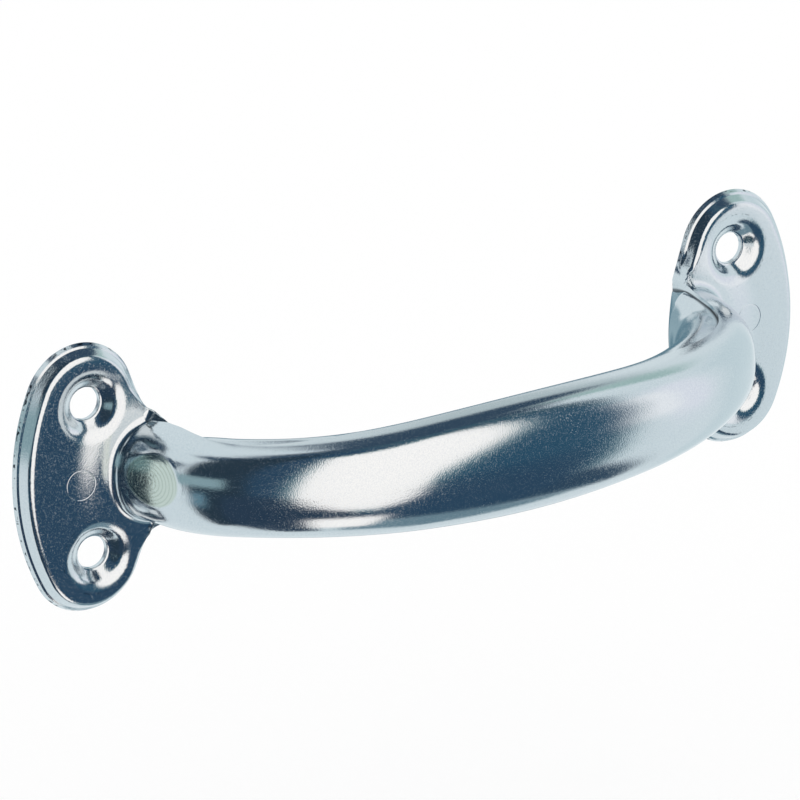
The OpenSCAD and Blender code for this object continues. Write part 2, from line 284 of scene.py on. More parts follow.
def hull_point(i, s, g):
    """The outer side at slope s, from i = 0 outside to PLATE_N at the lapped edge, grown by g."""
    to, ti, q = out_t(s) + g, in_t(s), square(s)
    a = lap_angle(s, g) * i / PLATE_N
    p, z = oval(to if a <= RIGHT_ANGLE else ti, half_w(s) + g, a, q)
    return p, z + flare(s) * (i / PLATE_N) ** FLARE_POWER


def lobe_point(j, s):
    """The sheet under the lap, from j = 0 at the lapped edge to TOE_N at the ridge."""
    c, ti, q = lap_in(s), in_t(s), square(s)
    edge = hull_point(PLATE_N, s, 0)[1]
    a = RIGHT_ANGLE * j / TOE_N
    near = (-c - (ti - c) * math.sin(a) ** LOBE_POWER, (edge - lap_drop(s)) * abs(math.cos(a)) ** LOBE_POWER)
    start = lap_angle(s, 0)
    b = start + (math.pi - start) * (j / TOE_N) ** LOBE_CREEP
    far = oval(out_t(s) if b <= RIGHT_ANGLE else ti, half_w(s) - lobe_drop(s), b, q)
    w = fade(s, *LOBE_FREE) * min(1.0, j)
    return mix(near[0], far[0], w), mix(near[1], far[1], w)


print("lapped edge lies", round(lap_in(RIGHT_ANGLE), 1), "mm behind the neck's middle")

# %% [markdown]
# The whole outside is one skin. It could be carved from a block, lofted from a
# few sections, or made of a flat grid that is laid round the handle. The grid
# is best here, because the real piece is a flat sheet too. One number climbs:
# from 0 at the cut edge of the foot, over ledge and skirt to 5 at the field, to
# 6 at the ring and 9 at the neck, and then along the bend to the middle of the
# grip. The other goes round the outline: 0 at the outside, PLATE_N at the lapped
# edge, and LAST_COLUMN at the ridge on the wall side. The foot comes first: its
# skirt runs into the field over a tight and then a softer round.

# %% Profile of the foot
FIELD_LEVEL, RING_LEVEL, NECK_LEVEL = 5, 6, 9
SOFT_LEVELS, HARD_LEVELS = 1.2, 0.8
TIGHT_COLUMN, TIGHT_N = ARC_N + 4, CORNER_N - 6
SKIRT_SLOPE, SOFT_SHARE, SOFT_R, HARD_R = math.radians(62), 27 / 62, 1.5, 0.8
SOFT_TURN = SKIRT_SLOPE * SOFT_SHARE
round_drop = SOFT_R * (1 - math.cos(SOFT_TURN)) + HARD_R * (math.cos(SOFT_TURN) - math.cos(SKIRT_SLOPE))
round_run = SOFT_R * math.sin(SOFT_TURN) + HARD_R * (math.sin(SKIRT_SLOPE) - math.sin(SOFT_TURN))
SKIRT_TOP_H = DISH_H - round_drop
SKIRT_TOP_IN = LEDGE_W + (SKIRT_TOP_H - SHEET) / math.tan(SKIRT_SLOPE)
FIELD_IN = SKIRT_TOP_IN + round_run


def foot_profile(k):
    """Inset and height of the foot from the cut edge at 0 to the field at 5."""
    if k <= 1:
        return TRIM_LEAN * k, TRIM_H * k
    if k <= 2:
        return mix(TRIM_LEAN, LEDGE_W, k - 1), mix(TRIM_H, SHEET, k - 1)
    if k <= 3:
        return mix(LEDGE_W, SKIRT_TOP_IN, k - 2), mix(SHEET, SKIRT_TOP_H, k - 2)
    soft = SKIRT_SLOPE * min(1.0, (FIELD_LEVEL - k) / SOFT_LEVELS) * SOFT_SHARE
    hard = SKIRT_SLOPE * max(0.0, (3 + HARD_LEVELS - k) / HARD_LEVELS) * (1 - SOFT_SHARE)
    inset = FIELD_IN - SOFT_R * math.sin(soft) - HARD_R * (math.sin(SOFT_TURN + hard) - math.sin(SOFT_TURN))
    drop = SOFT_R * (1 - math.cos(soft)) + HARD_R * (math.cos(SOFT_TURN) - math.cos(SOFT_TURN + hard))
    return inset, DISH_H - drop


def foot_level(k, i):
    """The foot without the lap: dish and field up to level 5, then the ring round the neck."""
    if k <= FIELD_LEVEL:
        inset, height = foot_profile(k)
        tight = 1 - (1 - SKIRT_TIGHT) * ease((i - TIGHT_COLUMN) / TIGHT_N)
        x, z = plate_point(i, inset * tight)
        return Vector((x, -height, z))
    a = RIGHT_ANGLE * max(0.0, (k - RING_LEVEL) / (NECK_LEVEL - RING_LEVEL))
    p, z = hull_point(i, RIGHT_ANGLE, RING_R * (1 - math.sin(a)))
    ring = Vector((NECK_X + p, -(DISH_H + RING_R * (1 - math.cos(a))), z))
    return ring if k >= RING_LEVEL else foot_level(FIELD_LEVEL, i).lerp(ring, k - FIELD_LEVEL)


print("field is", round(FIELD_IN, 2), "mm inside the cut edge and", DISH_H, "mm high")

# %% [markdown]
# At the side of the foot the skirt turns over into the side of the neck, where
# the blank was folded up. Behind it a toe closes the neck toward the wall: it
# stands narrow on the wall and widens as it climbs. Past the neck the skin
# follows the bend, and the lapped side runs a little ahead of the outer side,
# because it is the inner way round the elbow.

# %% Where the outer skin goes
FOLD_N, FOLD_POWER, FOLD_RISE, FOLD_BELLY = 4, 2.2, 2.7, 0.5
TOE_SHY, TOE_POWER, TOE_FORWARD, TOE_NARROW, RIDGE_N = 0.5, 0.8, 0.4, 1.2, 4.3
LAP_LEAD, LEAD_SLOPE, LEAD_POWER, SETTLE_RUN = 9, 42, 1.15, 12
LAST_COLUMN, MIDDLE_LEVEL = PLATE_N + 1 + TOE_N, NECK_LEVEL + NECK_SLOPE


def foot_point(k, i):
    """Near the lapped edge the skirt turns over into the side of the neck."""
    w = max(0.0, (i - PLATE_N + FOLD_N) / FOLD_N) ** FOLD_POWER
    point = foot_level(k, i)
    if w == 0:
        return point
    start, end = foot_level(0, i), foot_level(NECK_LEVEL, i) - Vector((0, FOLD_RISE * w, 0))
    point.y -= FOLD_RISE * w * ease((k - RING_LEVEL) / (NECK_LEVEL - RING_LEVEL))
    belly = Vector((0, 0, FOLD_BELLY * math.sin(math.pi * k / NECK_LEVEL)))
    return point.lerp(start.lerp(end, k / NECK_LEVEL) + belly, w)


def toe_at(k, j):
    """The sheet that closes the neck toward the wall, low down on the foot."""
    u = k / NECK_LEVEL
    a = RIGHT_ANGLE * j / TOE_N
    t = TOE_IN + (NECK_IN - TOE_SHY - TOE_IN) * u ** TOE_POWER
    c = LAP_FOOT - TOE_FORWARD * (1 - u)
    z = NECK_W / 2 + LAP_FLARE - LAP_STEP - TOE_NARROW * (1 - u)
    p = -c - (t - c) * math.sin(a) ** LOBE_POWER
    return Vector((NECK_X + p, -RIDGE_N * u, z * abs(math.cos(a)) ** LOBE_POWER))


def bend_at(so, col):
    """A point of neck or grip; the lapped side runs ahead of the outer side."""
    sl = so - LAP_LEAD * (max(0.0, so - LEAD_SLOPE) / (NECK_SLOPE - LEAD_SLOPE)) ** LEAD_POWER
    if col <= PLATE_N:
        s = math.radians(mix(so, sl, (col / PLATE_N) ** 2))
        return lift(s, *hull_point(col, s, 0))
    return lift(math.radians(sl), *lobe_point(col - PLATE_N - 1, math.radians(sl)))


def skin_point(k, col):
    """Level k up to 9 is the foot; past it, k - 9 is the slope lost since the neck, in degrees."""
    if PLATE_N < col < PLATE_N + 1:
        return skin_point(k, PLATE_N).lerp(skin_point(k, PLATE_N + 1), col - PLATE_N)
    if k <= NECK_LEVEL:
        return foot_point(k, col) if col <= PLATE_N else toe_at(k, col - PLATE_N - 1)
    point = bend_at(NECK_SLOPE - (k - NECK_LEVEL), col)
    rest = 1 - ease((k - NECK_LEVEL) / SETTLE_RUN)
    if rest > 0:
        point += (skin_point(NECK_LEVEL, col) - bend_at(NECK_SLOPE, col)) * rest
    return point


for k in (0, FIELD_LEVEL, NECK_LEVEL, MIDDLE_LEVEL):
    print("level", k, "starts at", [round(v, 2) for v in skin_point(k, 0)])

# %% [markdown]
# Both ends and both halves of the handle are alike, so only a quarter is laid
# out: the upper half of the right end. The lists of levels and columns say how
# close the grid lines are. They crowd together at the small radii, where the
# light turns fastest, and stand apart on the plain lengths. Each corner keeps
# its level and column, and the finish reads them later. The levels are shifted
# by a hair, because a level of just 0 is left to the inside.

# %% Lay the outer grid
LEVEL_SHIFT = 0.001


def steps(*stops):
    """Numbers from stop to stop: (from, count, to, count, to ...)."""
    out = [stops[0]]
    for n, end in zip(stops[1::2], stops[2::2]):
        start = out[-1]
        out += [mix(start, end, (m + 1) / n) for m in range(n)]
    return out


FOOT_STOPS = (0, 3, 1, 3, 2, 4, 3, 8, FIELD_LEVEL, 22, RING_LEVEL, 12, NECK_LEVEL)
LEVELS = steps(*FOOT_STOPS, 34, 50, 40, 84, 10, MIDDLE_LEVEL)
COLUMNS = steps(0, 66, PLATE_N, 2, PLATE_N + 1, 18, LAST_COLUMN)


def lay_grid(bm, rows, columns, place, layers=None):
    """Make a flat grid and move each of its corners to its place on the handle."""
    made = bmesh.ops.create_grid(bm, x_segments=len(rows) - 1, y_segments=len(columns) - 1, size=1.0)
    for v in made["verts"]:
        k = rows[round((v.co.x + 1) / 2 * (len(rows) - 1))]
        col = columns[round((v.co.y + 1) / 2 * (len(columns) - 1))]
        v.co = place(k, col)
        if layers:
            v[layers[0]], v[layers[1]] = k, col
    return made["verts"]


bm = bmesh.new()
level_of = bm.verts.layers.float.new("level")
column_of = bm.verts.layers.float.new("column")
for v in lay_grid(bm, LEVELS, COLUMNS, skin_point, (level_of, column_of)):
    v[level_of] += LEVEL_SHIFT
print("outer quarter:", len(bm.faces), "faces")

# %% [markdown]
# The inside of the sheet is a second grid of the same make. It lies one sheet
# thickness under the first, starts at the flat rim on the wall, and needs fewer
# rows, as it is only seen from behind. A solidify modifier could give the wall
# too, but it would fold over itself at the small radii. So the inside has a few
# stations of its own: three on the foot, three up the ring, the rest along the
# bend.

# %% Stations of the inside
EDGE_IN = LEDGE_W + SKIRT_RUN
INNER_R, INNER_TURN = RING_R + SHEET, math.radians(50)
FOOT_STATIONS = (  # inset and height of the foot, height on the toe
    (EDGE_IN + 0.15, 0, 0),
    (EDGE_IN + SHEET - 0.1, DISH_H - SHEET - 0.4, 0.8),
    (EDGE_IN + SHEET + 0.5, DISH_H - SHEET, 1.4),
)
RING_STATIONS = (  # size beyond the neck, height, height on the toe
    (RING_R, DISH_H - SHEET, 2.2),
    (RING_R - INNER_R * math.sin(INNER_TURN), DISH_H - SHEET + INNER_R * (1 - math.cos(INNER_TURN)), 3),
    (-SHEET, DISH_H + RING_R, RIDGE_N),
)
BEND_SLOPES = (74, 65, 54.5, 43, 34.5, 26.5, 18.5, 9, 4.5, 0)
LAST_STATION = 5 + len(BEND_SLOPES)
FOOT_COLUMNS, RING_WAY, BEND_WAY = 20, 80, 72
INNER_POWER, INNER_FLARE, LAP_ROOM, TOE_ROOM = 0.95, 0.8, 1.2, 0.6


def inner_toe(u, n):
    """The inside of the sheet that closes the neck, at height n."""
    h = n / RIDGE_N
    a = RIGHT_ANGLE * u
    z = NECK_W / 2 + LAP_FLARE - LAP_STEP - SHEET - TOE_NARROW * (1 - h)
    t = TOE_IN + (NECK_IN - TOE_SHY - TOE_IN) * h ** TOE_POWER - SHEET
    x = NECK_X + TOE_ROOM - (t + TOE_ROOM) * math.sin(a) ** INNER_POWER
    return Vector((x, -n, z * abs(math.cos(a)) ** INNER_POWER))


def inner_station(r, u):
    """Station r of the inside; u runs 0 to 1 over the outer side and on to 2 at the ridge."""
    if r < 6:
        size, height, toe = (FOOT_STATIONS + RING_STATIONS)[r]
        if u > 1:
            return inner_toe(u - 1, toe)
        if r < 3:
            x, z = plate_point(FOOT_COLUMNS * u, size)
            return Vector((x, -height, z))
        p, z = oval(NECK_OUT + size, NECK_W / 2 + size, math.radians(RING_WAY * u), square(RIGHT_ANGLE))
        return Vector((NECK_X + p, -height, z))
    s = math.radians(BEND_SLOPES[r - 6])
    w = half_w(s) - SHEET
    if u <= 1:
        return lift(s, *oval(out_t(s) - SHEET, w, math.radians(BEND_WAY * u), square(s)))
    x, a = LAP_TIP + LAP_ROOM, RIGHT_ANGLE * (u - 1)
    z = (w - lap_drop(s) + flare(s) * INNER_FLARE) * abs(math.cos(a)) ** INNER_POWER
    return lift(s, x - (in_t(s) - SHEET + x) * math.sin(a) ** INNER_POWER, z)


print("the inside has", LAST_STATION + 1, "stations")

# %% [markdown]
# Between its stations the inside runs straight on the foot. Along the ring and
# the bend a curve through four neighbouring stations keeps it smooth, and past
# the middle of the grip the fourth one is the mirror image of the second.

# %% Lay the inner grid
OUTER_COLUMNS = 0.93 * PLATE_N


def inner_point(r, col):
    """A point of the inside, by row r between the stations and by column."""
    if OUTER_COLUMNS < col < PLATE_N + 1:
        start, end = inner_point(r, OUTER_COLUMNS), inner_point(r, PLATE_N + 1.001)
        return start.lerp(end, (col - OUTER_COLUMNS) / (PLATE_N + 1 - OUTER_COLUMNS))
    u = col / OUTER_COLUMNS if col <= OUTER_COLUMNS else 1 + max(1e-6, (col - PLATE_N - 1) / TOE_N)
    j = min(LAST_STATION - 1, int(r))
    near = [min(LAST_STATION, max(0, m)) for m in (j - 1, j, j + 1, j + 2)]
    a, b, c, d = (inner_station(m, min(2, u)) for m in near)
    f = r - j
    if r < 3:
        return b.lerp(c, f)
    if j == LAST_STATION - 1:
        d = Vector((-b.x, b.y, b.z))
    return b + 0.5 * f * (c - a + f * (2 * a - 5 * b + 4 * c - d + f * (3 * (b - c) + d - a)))


INNER_ROWS = steps(0, 2, 1, 2, 2, 6, 3, 6, 5, 3, 6, 30, LAST_STATION)
lay_grid(bm, INNER_ROWS, COLUMNS, inner_point)
print("with the inside:", len(bm.faces), "faces")

# %% [markdown]
# The flat rim on the wall joins outside and inside, as the cut edge of the real
# sheet does. Each grid has a row of free edges there, and bridging the two rows
# closes the rim.

# %% Close the rim on the wall
def free_edges(bm, test):
    return [e for e in bm.edges if e.is_boundary and all(test(v.co) for v in e.verts)]


rim = free_edges(bm, lambda co: abs(co.y) < 1e-4 and co.x > 1)
along_rim = [e for e in rim if abs(e.verts[0].co.z) > 1e-6 or abs(e.verts[1].co.z) > 1e-6]
bridged = bmesh.ops.bridge_loops(bm, edges=along_rim)
print("rim:", len(along_rim), "edges joined by", len(bridged["faces"]), "faces")

# %% [markdown]
# A dimple is a cup that a round punch presses into the field, with the screw
# hole in its floor. Two arcs and a cone could stand for it, but the sheet bends
# over the punch ever more tightly, and the light shows that. So the cup is set
# by its slope at a few radii, and walking inward in small steps gives its
# heights. The profile is a chain of points, each a radius and a height over the
# wall: from the field down the cup, through the hole, and back along the
# underside.

# %% Profile of a dimple
CUP_SLOPES = ((6.4, 0), (5.8, 9), (5.2, 19), (4.7, 30), (4.35, 39), (4.15, 41.3), (3.12, 41.3), (2.92, 8))
CUP_RADII = (6.4, 6.15, 5.95, 5.7, 5.45, 5.2, 4.95, 4.75, 4.6, 4.45, 4.3, 4.15, 4.0, 3.55, 3.12, 3.03, 2.97)
STRIDE = 0.01


def cup_slope(r):
    """How steep the cup is at radius r, in degrees, between the set slopes."""
    for (a, slope), (b, steeper) in zip(CUP_SLOPES, CUP_SLOPES[1:]):
        if a >= r >= b:
            return mix(slope, steeper, (a - r) / (a - b))


def cup_side():
    """The points down the cup at the set radii."""
    r, height = CUP_RADII[0], DISH_H
    points = [(r, height)]
    for stop in CUP_RADII[1:]:
        while r > stop + STRIDE / 2:
            height -= STRIDE * math.tan(math.radians(cup_slope(r - STRIDE / 2)))
            r -= STRIDE
        points.append((stop, height))
    return points


CUP_HOLE = [(2.88, 1.06), (2.8, 1.025), (2.74, 0.955), (HOLE_R, 0.855), (HOLE_R, 0.1), (2.75, 0.06)]
CUP_BACK = [
    (3.1, 0.1), (3.45, 0.2), (4.1, 0.66), (4.75, 1.12), (5.3, 1.5), (5.7, 1.74), (6.0, 1.86), (6.2, 1.9),
]
CUP = cup_side() + CUP_HOLE + CUP_BACK
print("the cup goes down to", round(min(height for r, height in cup_side()), 3), "mm over the wall")

# %% [markdown]
# The cup is round, so the chain is spun once round the hole. The two grids give
# way with a ragged hole each, and a flat fill closes the ring between the rags
# and the cup, in front and on the underside.

# %% Turn the dimples
CUP_STEPS, CUP_GAP = 64, 0.1


def from_hole(v):
    return math.hypot(v.co.x - HOLE_X, v.co.z - HOLE_Z)


def cut_field(bm, height, radius):
    """Take the faces of the flat field at this height away round the screw hole."""
    free_before = {e for e in bm.edges if e.is_boundary}
    gone = []
    for f in bm.faces:
        near = any(from_hole(v) < radius for v in f.verts)
        if near and all(abs(v.co.y + height) < 0.02 for v in f.verts):
            gone.append(f)
    bmesh.ops.delete(bm, geom=gone, context="FACES")
    return [e for e in bm.edges if e.is_boundary and e not in free_before]


ragged_front = cut_field(bm, DISH_H, CUP[0][0] + CUP_GAP)
ragged_back = cut_field(bm, DISH_H - SHEET, CUP[-1][0] + CUP_GAP)
chain = [bm.verts.new((HOLE_X + r, -n, HOLE_Z)) for r, n in CUP]
lines = [bm.edges.new(pair) for pair in zip(chain, chain[1:])]
bmesh.ops.spin(
    bm, geom=chain + lines, cent=(HOLE_X, 0, HOLE_Z), axis=(0, 1, 0),
    angle=2 * math.pi, steps=CUP_STEPS, use_merge=True,
)

for ragged, (radius, height) in ((ragged_front, CUP[0]), (ragged_back, CUP[-1])):
    circle = [
        e for e in bm.edges if e.is_boundary
        and all(abs(from_hole(v) - radius) < 1e-3 and abs(v.co.y + height) < 1e-3 for v in e.verts)
    ]
    filled = bmesh.ops.triangle_fill(bm, use_beauty=True, edges=ragged + circle, normal=(0, -1, 0))
    print("dimple ring of", len(circle), "edges joined to", len(ragged), "by", len(filled["geom"]), "pieces")

# %% [markdown]
# Pressing the neck out of the sheet also pulls the field a little up all round
# it. The lift depends on the distance from the neck, counted in ring widths, so
# front and back of the wall rise together and it keeps its thickness. It fades
# out toward the wall and up the neck.

# %% Lift the field toward the neck
FIELD_RISE, RISE_FROM = 0.5, 1.9
RISE_LOW, RISE_LOW_RUN, RISE_HIGH, RISE_HIGH_RUN = 0.9, 1.6, 4, 6
ring_w, ring_l = NECK_OUT + RING_R, NECK_W / 2 + RING_R
lifted = 0
for v in bm.verts:
    height = -v.co.y
    away = math.hypot((v.co.x - NECK_X) / ring_w, v.co.z / ring_l)
    if height > RISE_LOW and v.co.x > NECK_X:
        share = ease((RISE_FROM - away) / (RISE_FROM - 1)) * ease((height - RISE_LOW) / RISE_LOW_RUN)
        share *= 1 - ease((height - RISE_HIGH) / RISE_HIGH_RUN)
        v.co.y -= FIELD_RISE * share
        lifted += share > 0.01
print("lifted", lifted, "corners by up to", FIELD_RISE, "mm")

# %% [markdown]
# The lower half of a foot and of the grip is the mirror image of the upper one,
# so the quarter is mirrored down. The seam lies on the middle plane, and its
# doubled corners are merged.

# %% Mirror the quarter
bmesh.ops.mirror(bm, geom=bm.verts[:] + bm.edges[:] + bm.faces[:], axis="Z", merge_dist=1e-4)
bmesh.ops.remove_doubles(bm, verts=bm.verts[:], dist=1e-4)
print("right half:", len(bm.faces), "faces,", sum(e.is_boundary for e in bm.edges), "edges still free")

# %% [markdown]
# The bending tool flattens a round spot on each elbow, with turned rings in it.
# It steps down by only 0.06 mm at its rim and is about 0.4 mm deep in the
# middle, so it is flatter than the elbow round it. A boolean cut would leave
# long thin faces, and the grid is too coarse for the rim. So the faces round
# the rim are split, their new corners are put back on the true surface, and
# then the spot is pushed in. Distances from its middle are shares of its size,
# with 1 on its rim.

# %% Press the round mark
RIM_DEPTH, RIM_SHARE, RIM_RUN, MARK_FLAT = 0.06, 1.1, 0.25, 0.35
LIP_HEIGHT, LIP_RUN, MARK_REACH = 0.01, 0.05, 1.2
FINER = ((1, 0.75, 1.25), (2, 0.9, 1.1))
mark_slope = 90 - MARK_TURN
mark_bend = ELBOW_R + out_t(math.radians(mark_slope))
mark_in = Vector((-math.sin(math.radians(mark_slope)), math.cos(math.radians(mark_slope)), 0))


def on_elbow(v):
    return NECK_LEVEL + 0.5 < v[level_of] < 60 and v[column_of] < 14


def mark_place(v):
    """Where a corner lies on the mark, in mm along the bend and up from its middle."""
    run = math.radians(mark_slope - (NECK_SLOPE - (v[level_of] - NECK_LEVEL))) * mark_bend
    return run, v.co.z - MARK_RISE


def mark_share(v):
    """Distance from the middle of the mark, with 1 on its rim."""
    run, rise = mark_place(v)
    return math.hypot(run / (MARK_L / 2), rise / (MARK_W / 2))


for cuts, low, high in FINER:
    split = set()
    for f in bm.faces:
        if all(on_elbow(v) for v in f.verts):
            shares = [mark_share(v) for v in f.verts]
            if min(shares) < high and max(shares) > low:
                split.update(f.edges)
    made = bmesh.ops.subdivide_edges(bm, edges=list(split), cuts=cuts, use_grid_fill=True)
    for v in made["geom_inner"]:
        if isinstance(v, bmesh.types.BMVert):
            true = skin_point(v[level_of] - LEVEL_SHIFT, v[column_of])
            v.co = Vector((true.x, true.y, math.copysign(true.z, v.co.z)))

mark_layer = bm.verts.layers.float_vector.new("mark_place")
pushed = 0
for v in bm.verts:
    v[mark_layer] = (99, 99, 0)
    if on_elbow(v):
        share = mark_share(v)
        v[mark_layer] = (*mark_place(v), 0)
        if share < MARK_REACH:
            sink = RIM_DEPTH * ease((RIM_SHARE - share) / RIM_RUN) + MARK_FLAT * max(0.0, 1 - share ** 2)
            lip = LIP_HEIGHT * math.exp(-((share - RIM_SHARE) / LIP_RUN) ** 2)
            v.co += (sink - lip) * mark_in
            pushed += 1
print("mark pushed into", pushed, "corners")

# %% [markdown]
# The second mirror makes the left end, which is bent in the same tool. Then the
# skin is turned outward, scaled from millimetres to metres, and its true creases
# are marked sharp, so that everything else shades smoothly.

# %% Finish the skin
CREASE = math.radians(21)
bmesh.ops.mirror(bm, geom=bm.verts[:] + bm.edges[:] + bm.faces[:], axis="X", merge_dist=1e-4)
bmesh.ops.remove_doubles(bm, verts=bm.verts[:], dist=1e-4)
bmesh.ops.recalc_face_normals(bm, faces=bm.faces[:])
bmesh.ops.scale(bm, vec=(MM, MM, MM), verts=bm.verts[:])
for f in bm.faces:
    f.smooth = True
for e in bm.edges:
    e.smooth = e.calc_face_angle(0) < CREASE
print("whole skin:", len(bm.faces), "faces,", sum(e.is_boundary for e in bm.edges), "free edges")

mesh = bpy.data.meshes.new("pressed_handle")
bm.to_mesh(mesh)
bm.free()
handle = bpy.data.objects.new("pressed_handle", mesh)
bpy.context.scene.collection.objects.link(handle)
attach(handle, "root")
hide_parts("handle")
print("triangles:", sum(len(p.vertices) - 2 for p in mesh.polygons))

# %% [markdown]
# The finish is bright zinc: the steel is plated, then dipped in a clear blue
# passivate. It is nearly a mirror, cool in tone, with a very fine grain from
# the rolled sheet under it, so it shows what stands round it in soft bands.
# Grain of its real size would be lost between the pixels, so it is drawn 0.23 mm
# wide, as coarse as it needs to show, and some spots of it are duller. A picture
# of metal could be laid on, but noise in millimetres suits every view.

# %% Bright zinc plate
def from_hex(code):
    """An sRGB hex colour as the linear numbers that Blender reckons with."""
    parts = [int(code[i:i + 2], 16) / 255 for i in (1, 3, 5)]
    return [c / 12.92 if c <= 0.04045 else ((c + 0.055) / 1.055) ** 2.4 for c in parts] + [1.0]


def add_node(tree, kind, inputs=(), **settings):
    """Add one node, set its properties, and give each input a value or a link."""
    node = tree.nodes.new(kind)
    for name, value in settings.items():
        setattr(node, name, value)
    for key, value in dict(inputs).items():
        if isinstance(value, bpy.types.NodeSocket):
            tree.links.new(value, node.inputs[key])
        else:
            node.inputs[key].default_value = value
    return node


zinc = bpy.data.materials.new("bright_blue_passivated_zinc_on_rolled_steel")
zinc.use_nodes = True
tree = zinc.node_tree
tree.nodes.clear()
place = add_node(tree, "ShaderNodeTexCoord").outputs["Object"]

GRAIN_SIZE, GRAIN_HEIGHT, CLOUD_SIZE = 0.23, 0.0105, 100 / 9
SMOOTHEST, DULLEST, SPOT_ROUGH, SPOT_FROM, SPOT_FULL = 0.08, 0.13, 0.16, 0.52, 0.72
TINT_FROM, TINT_FULL = 0.35, 0.65
grain = add_node(
    tree, "ShaderNodeTexNoise", {"Vector": place, "Scale": 1 / (GRAIN_SIZE * MM), "Detail": 1.0},
).outputs["Fac"]
cloud = add_node(tree, "ShaderNodeTexNoise", {"Vector": place, "Scale": 1 / (CLOUD_SIZE * MM)}).outputs["Fac"]
rough = add_node(
    tree, "ShaderNodeMapRange", {"Value": cloud, "To Min": SMOOTHEST, "To Max": DULLEST},
).outputs["Result"]
spots = add_node(
    tree, "ShaderNodeMapRange",
    {"Value": grain, "From Min": SPOT_FROM, "From Max": SPOT_FULL, "To Max": SPOT_ROUGH},
).outputs["Result"]
rough = add_node(tree, "ShaderNodeMath", {0: rough, 1: spots}, operation="ADD").outputs[0]
bump = add_node(
    tree, "ShaderNodeBump", {"Height": grain, "Strength": 1.0, "Distance": GRAIN_HEIGHT * MM},
).outputs["Normal"]
speckle = add_node(
    tree, "ShaderNodeMapRange", {"Value": grain, "From Min": TINT_FROM, "From Max": TINT_FULL},
).outputs["Result"]
colour = add_node(
    tree, "ShaderNodeMix", {0: speckle, 6: from_hex("#C9D3D9"), 7: from_hex("#D2DBDF")}, data_type="RGBA",
).outputs[2]
print("plate grain of", GRAIN_SIZE, "mm")

# %% [markdown]
# The tool mark on each elbow is turned, as a lathe faces a punch: rings about a
# middle, and a slightly greener, darker spot where the plate is thin. The rings
# are drawn 0.55 mm apart, as coarse as they need to show. The mesh carries each
# corner's place on the mark, so the rings follow it. The wave node turns through
# 20 radians per unit of its scale.

# %% Turned rings in the mark
RING_PITCH, RING_HEIGHT, RING_MIDDLE, WAVE_TURN = 0.55, 0.0025, (0.6, 0.3, 0.0), 20
MARK_BLUR, RING_FROM, RING_DARK = 0.08, 0.6, 0.22
spot = add_node(tree, "ShaderNodeAttribute", attribute_name="mark_place").outputs["Vector"]
round_spot = add_node(
    tree, "ShaderNodeMapping", {"Vector": spot, "Scale": (2 / MARK_L, 2 / MARK_W, 0.0)},
).outputs[0]
inward = add_node(
    tree, "ShaderNodeTexGradient", {"Vector": round_spot}, gradient_type="SPHERICAL",
).outputs["Fac"]
in_mark = add_node(tree, "ShaderNodeMapRange", {"Value": inward, "From Max": MARK_BLUR}).outputs["Result"]
shifted = add_node(
    tree, "ShaderNodeMapping",
    {"Vector": spot, "Location": RING_MIDDLE, "Scale": (MARK_W / MARK_L, 1.0, 0.0)},
).outputs[0]
turned = add_node(
    tree, "ShaderNodeTexWave", {"Vector": shifted, "Scale": 2 * math.pi / (WAVE_TURN * RING_PITCH)},
    wave_type="RINGS", rings_direction="SPHERICAL",
).outputs["Fac"]
rings = add_node(tree, "ShaderNodeMath", {0: turned, 1: in_mark}, operation="MULTIPLY").outputs[0]
bump = add_node(
    tree, "ShaderNodeBump", {"Height": rings, "Normal": bump, "Strength": 1.0, "Distance": RING_HEIGHT * MM},
).outputs["Normal"]
colour = add_node(
    tree, "ShaderNodeMix", {0: in_mark, 6: colour, 7: from_hex("#C3CFC8")}, data_type="RGBA",
).outputs[2]
ring_dark = add_node(
    tree, "ShaderNodeMapRange", {"Value": rings, "From Min": RING_FROM, "To Max": RING_DARK},
).outputs["Result"]
colour = add_node(
    tree, "ShaderNodeMix", {0: ring_dark, 6: colour, 7: from_hex("#7E8A80")}, data_type="RGBA",
).outputs[2]
print("rings every", RING_PITCH, "mm")

# %% [markdown]
# Between the screw holes each field has the faint round print of a pin that
# pushed the blank out of the die. It is a groove two hundredths of a millimetre
# deep, too shallow for the mesh, so the shading alone draws it. The handle is
# the same on all four quarters, so the place is taken without its sign.

# %% Pin print in each field
PRINT_X, PRINT_R, PRINT_LINE, PRINT_DEPTH = 66.1, 2.5, 0.13, 0.02
mirrored = add_node(tree, "ShaderNodeVectorMath", {0: place}, operation="ABSOLUTE").outputs[0]
flat = add_node(
    tree, "ShaderNodeVectorMath", {0: mirrored, 1: (1.0, 0.0, 1.0)}, operation="MULTIPLY",
).outputs[0]
away = add_node(
    tree, "ShaderNodeVectorMath", {0: flat, 1: (PRINT_X * MM, 0.0, 0.0)}, operation="DISTANCE",
).outputs["Value"]
beside = add_node(tree, "ShaderNodeMath", {0: away, 1: PRINT_R * MM}, operation="SUBTRACT").outputs[0]
beside = add_node(tree, "ShaderNodeMath", {0: beside}, operation="ABSOLUTE").outputs[0]
groove = add_node(
    tree, "ShaderNodeMapRange", {"Value": beside, "From Max": PRINT_LINE * MM},
    interpolation_type="SMOOTHSTEP",
).outputs["Result"]
bump = add_node(
    tree, "ShaderNodeBump", {"Height": groove, "Normal": bump, "Strength": 1.0, "Distance": PRINT_DEPTH * MM},
).outputs["Normal"]
print("print of", 2 * PRINT_R, "mm")
